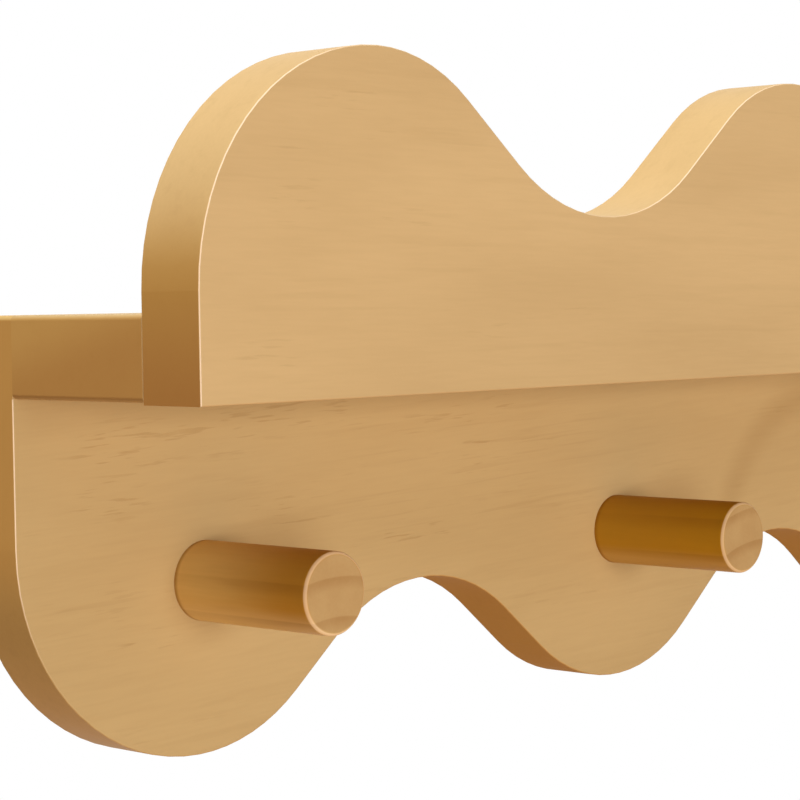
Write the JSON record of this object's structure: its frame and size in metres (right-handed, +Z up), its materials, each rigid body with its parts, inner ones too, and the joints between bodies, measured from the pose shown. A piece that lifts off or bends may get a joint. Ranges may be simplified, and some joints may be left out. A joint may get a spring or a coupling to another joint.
{
  "type": "wall bookshelf with pegs",
  "caption": "Wall shelf in solid pine: a wavy lip holds books in front of a shelf board, and a wavy back board below it carries round pegs for hanging things.",
  "frame": {"origin": "on the wall plane, midway along the shelf, at the height of the two wall screws when the shelf hangs on them", "axes": "+X along the shelf to the right as seen from the room, +Y at the wall, +Z up"},
  "size_m": [0.6, 0.082, 0.169],
  "materials": {
    "front_board_pine": "sanded pine, clear matt lacquer",
    "shelf_board_pine": "sanded pine, clear matt lacquer",
    "back_board_pine": "sanded pine, clear matt lacquer",
    "peg_pine": "turned pine, clear matt lacquer",
    "dowel_beech": "plain beech dowel",
    "zinc_screw": "zinc plated",
    "keyhole_steel": "zinc plated sheet"
  },
  "bodies": {
    "root": {"front_board": "front_board_pine", "shelf_board": "shelf_board_pine", "back_board": "back_board_pine", "peg_1": "peg_pine", "peg_2": "peg_pine", "peg_3": "peg_pine", "peg_4": "peg_pine", "lip_dowels": "dowel_beech", "shelf_screws": "zinc_screw", "keyhole_plate_left": "keyhole_steel", "keyhole_plate_right": "keyhole_steel", "plate_screws": "zinc_screw"}
  },
  "joints": []
}
